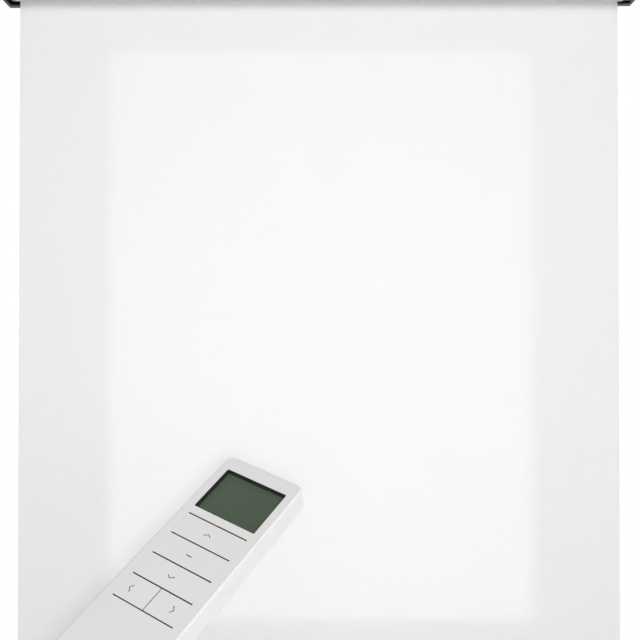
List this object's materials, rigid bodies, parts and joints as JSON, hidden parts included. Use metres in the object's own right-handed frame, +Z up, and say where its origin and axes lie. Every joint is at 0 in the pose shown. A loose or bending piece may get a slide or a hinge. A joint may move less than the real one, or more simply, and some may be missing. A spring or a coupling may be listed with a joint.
{
  "type": "motorized roller blind",
  "caption": "Motorized roller blind: cloth on an aluminium tube between two black wall or ceiling brackets, tubular motor inside, bottom rail, and a hand transmitter.",
  "frame": {"origin": "on the wall, midway between the two brackets, at the height of the roller's axis: the centre of the pattern of the four wall screws", "axes": "+Z up, +X along the roller from the idle bracket to the motor bracket, +Y into the wall"},
  "size_m": [0.8, 0.781, 0.9383],
  "materials": {
    "bracket_steel": "black powder coat, satin",
    "cover_black": "moulded black, fine grain",
    "bearing_black": "moulded black, smooth",
    "grey_plastic": "moulded dark grey",
    "pin_steel": "ground steel",
    "bright_chrome": "polished chrome",
    "tube_aluminium": "mill finish",
    "rail_white": "white powder coat",
    "cloth_white": "plain woven, translucent",
    "white_plastic": "moulded white",
    "nylon_white": "moulded natural white",
    "gear_steel": "sintered steel",
    "board_green": "solder mask",
    "cell_blue": "shrink sleeve",
    "coin_steel": "nickel plated",
    "contact_brass": "plated spring",
    "clear_plastic": "clear, polished",
    "display_grey": "display glass, dark green grey",
    "remote_white": "moulded off-white, satin",
    "mat_rubber": "soft silicone"
  },
  "bodies": {
    "mounting": {"bracket_idle": "bracket_steel", "bracket_motor": "bracket_steel", "cover_idle": "cover_black", "cover_motor": "cover_black", "idle_bearing": "bearing_black", "fabric_panel": "cloth_white", "motor_head": "grey_plastic", "charge_socket": "pin_steel", "status_lens": "clear_plastic", "retaining_clip": "bright_chrome", "motor_casing": "tube_aluminium", "end_bearing": "nylon_white", "ring_gear": "nylon_white", "gearmotor": "coin_steel", "inner_cradle": "cover_black", "battery_cells": "cell_blue", "motor_board": "board_green", "remote_front_cover": "remote_white", "remote_back_cover": "remote_white", "remote_screws": "pin_steel", "display_frame": "bearing_black", "display_window": "clear_plastic", "display_panel": "display_grey", "key_mat": "mat_rubber", "remote_board": "board_green", "coin_cell": "coin_steel", "coin_contact": "contact_brass"},
    "roller": {"roller_tube": "tube_aluminium", "tube_spline": "white_plastic", "fabric_roll": "cloth_white", "idle_plug": "grey_plastic", "idle_collar": "bright_chrome", "idle_spring": "pin_steel", "crown_ring": "grey_plastic", "drive_wheel": "nylon_white", "drive_clip": "pin_steel", "output_carrier": "gear_steel"},
    "pin": {"idle_pin": "pin_steel"},
    "planet_a": {"planet_gear_1": "nylon_white"},
    "planet_b": {"planet_gear_2": "nylon_white"},
    "planet_c": {"planet_gear_3": "nylon_white"},
    "sun": {"sun_gear": "gear_steel"},
    "rail": {"bottom_rail": "rail_white", "rail_spline": "white_plastic", "rail_hem": "cloth_white", "rail_cap_left": "white_plastic", "rail_cap_right": "white_plastic"},
    "button": {"setting_button": "cover_black"},
    "up_key": {"key_up": "remote_white"},
    "stop_key": {"key_stop": "remote_white"},
    "down_key": {"key_down": "remote_white"},
    "left_key": {"key_left": "remote_white"},
    "right_key": {"key_right": "remote_white"},
    "door": {"battery_door": "remote_white"}
  },
  "joints": [
    {"name": "tube_spin", "type": "hinge", "parent": "mounting", "child": "roller", "pos_m": [0, -0.035, 0], "axis": [1, 0, 0], "range_deg": [0, 2246]},
    {"name": "rail_lift", "type": "slide", "parent": "mounting", "child": "rail", "axis": [0, 0, 1], "range_m": [0, 0.836], "deforming": ["fabric_panel"]},
    {"name": "sun_spin", "type": "hinge", "parent": "mounting", "child": "sun", "pos_m": [0, -0.035, 0], "axis": [1, 0, 0], "range_deg": [0, 8984]},
    {"name": "planet_a_spin", "type": "hinge", "parent": "roller", "child": "planet_a", "pos_m": [-0.0252, -0.035, 0.0066], "axis": [1, 0, 0], "range_deg": [-6738, 0]},
    {"name": "planet_b_spin", "type": "hinge", "parent": "roller", "child": "planet_b", "pos_m": [-0.0252, -0.04072, -0.0033], "axis": [1, 0, 0], "range_deg": [-6738, 0]},
    {"name": "planet_c_spin", "type": "hinge", "parent": "roller", "child": "planet_c", "pos_m": [-0.0252, -0.02928, -0.0033], "axis": [1, 0, 0], "range_deg": [-6738, 0]},
    {"name": "pin_retract", "type": "slide", "parent": "roller", "child": "pin", "axis": [1, 0, 0], "range_m": [0, 0.012], "stiffness_N_per_m": 500, "springref_m": -0.008, "deforming": ["idle_spring"]},
    {"name": "button_press", "type": "slide", "parent": "mounting", "child": "button", "axis": [0, 0.9613, 0.2756], "range_m": [0, 0.0008], "stiffness_N_per_m": 1500, "springref_m": -0.0006},
    {"name": "up_press", "type": "slide", "parent": "mounting", "child": "up_key", "axis": [0.0506, 0.6077, -0.7925], "range_m": [0, 0.0005], "stiffness_N_per_m": 1500, "springref_m": -0.0005},
    {"name": "stop_press", "type": "slide", "parent": "mounting", "child": "stop_key", "axis": [0.0506, 0.6077, -0.7925], "range_m": [0, 0.0005], "stiffness_N_per_m": 1500, "springref_m": -0.0005},
    {"name": "down_press", "type": "slide", "parent": "mounting", "child": "down_key", "axis": [0.0506, 0.6077, -0.7925], "range_m": [0, 0.0005], "stiffness_N_per_m": 1500, "springref_m": -0.0005},
    {"name": "left_press", "type": "slide", "parent": "mounting", "child": "left_key", "axis": [0.0506, 0.6077, -0.7925], "range_m": [0, 0.0005], "stiffness_N_per_m": 1500, "springref_m": -0.0005},
    {"name": "right_press", "type": "slide", "parent": "mounting", "child": "right_key", "axis": [0.0506, 0.6077, -0.7925], "range_m": [0, 0.0005], "stiffness_N_per_m": 1500, "springref_m": -0.0005},
    {"name": "door_slide", "type": "slide", "parent": "mounting", "child": "door", "axis": [-0.5322, -0.6551, -0.5363], "range_m": [0, 0.03]}
  ],
  "couplings": [
    {"joint": "rail_lift", "follows": "tube_spin", "m_per_rad": 0.0213},
    {"joint": "sun_spin", "follows": "tube_spin", "ratio": 4},
    {"joint": "planet_a_spin", "follows": "tube_spin", "ratio": -3},
    {"joint": "planet_b_spin", "follows": "tube_spin", "ratio": -3},
    {"joint": "planet_c_spin", "follows": "tube_spin", "ratio": -3}
  ]
}
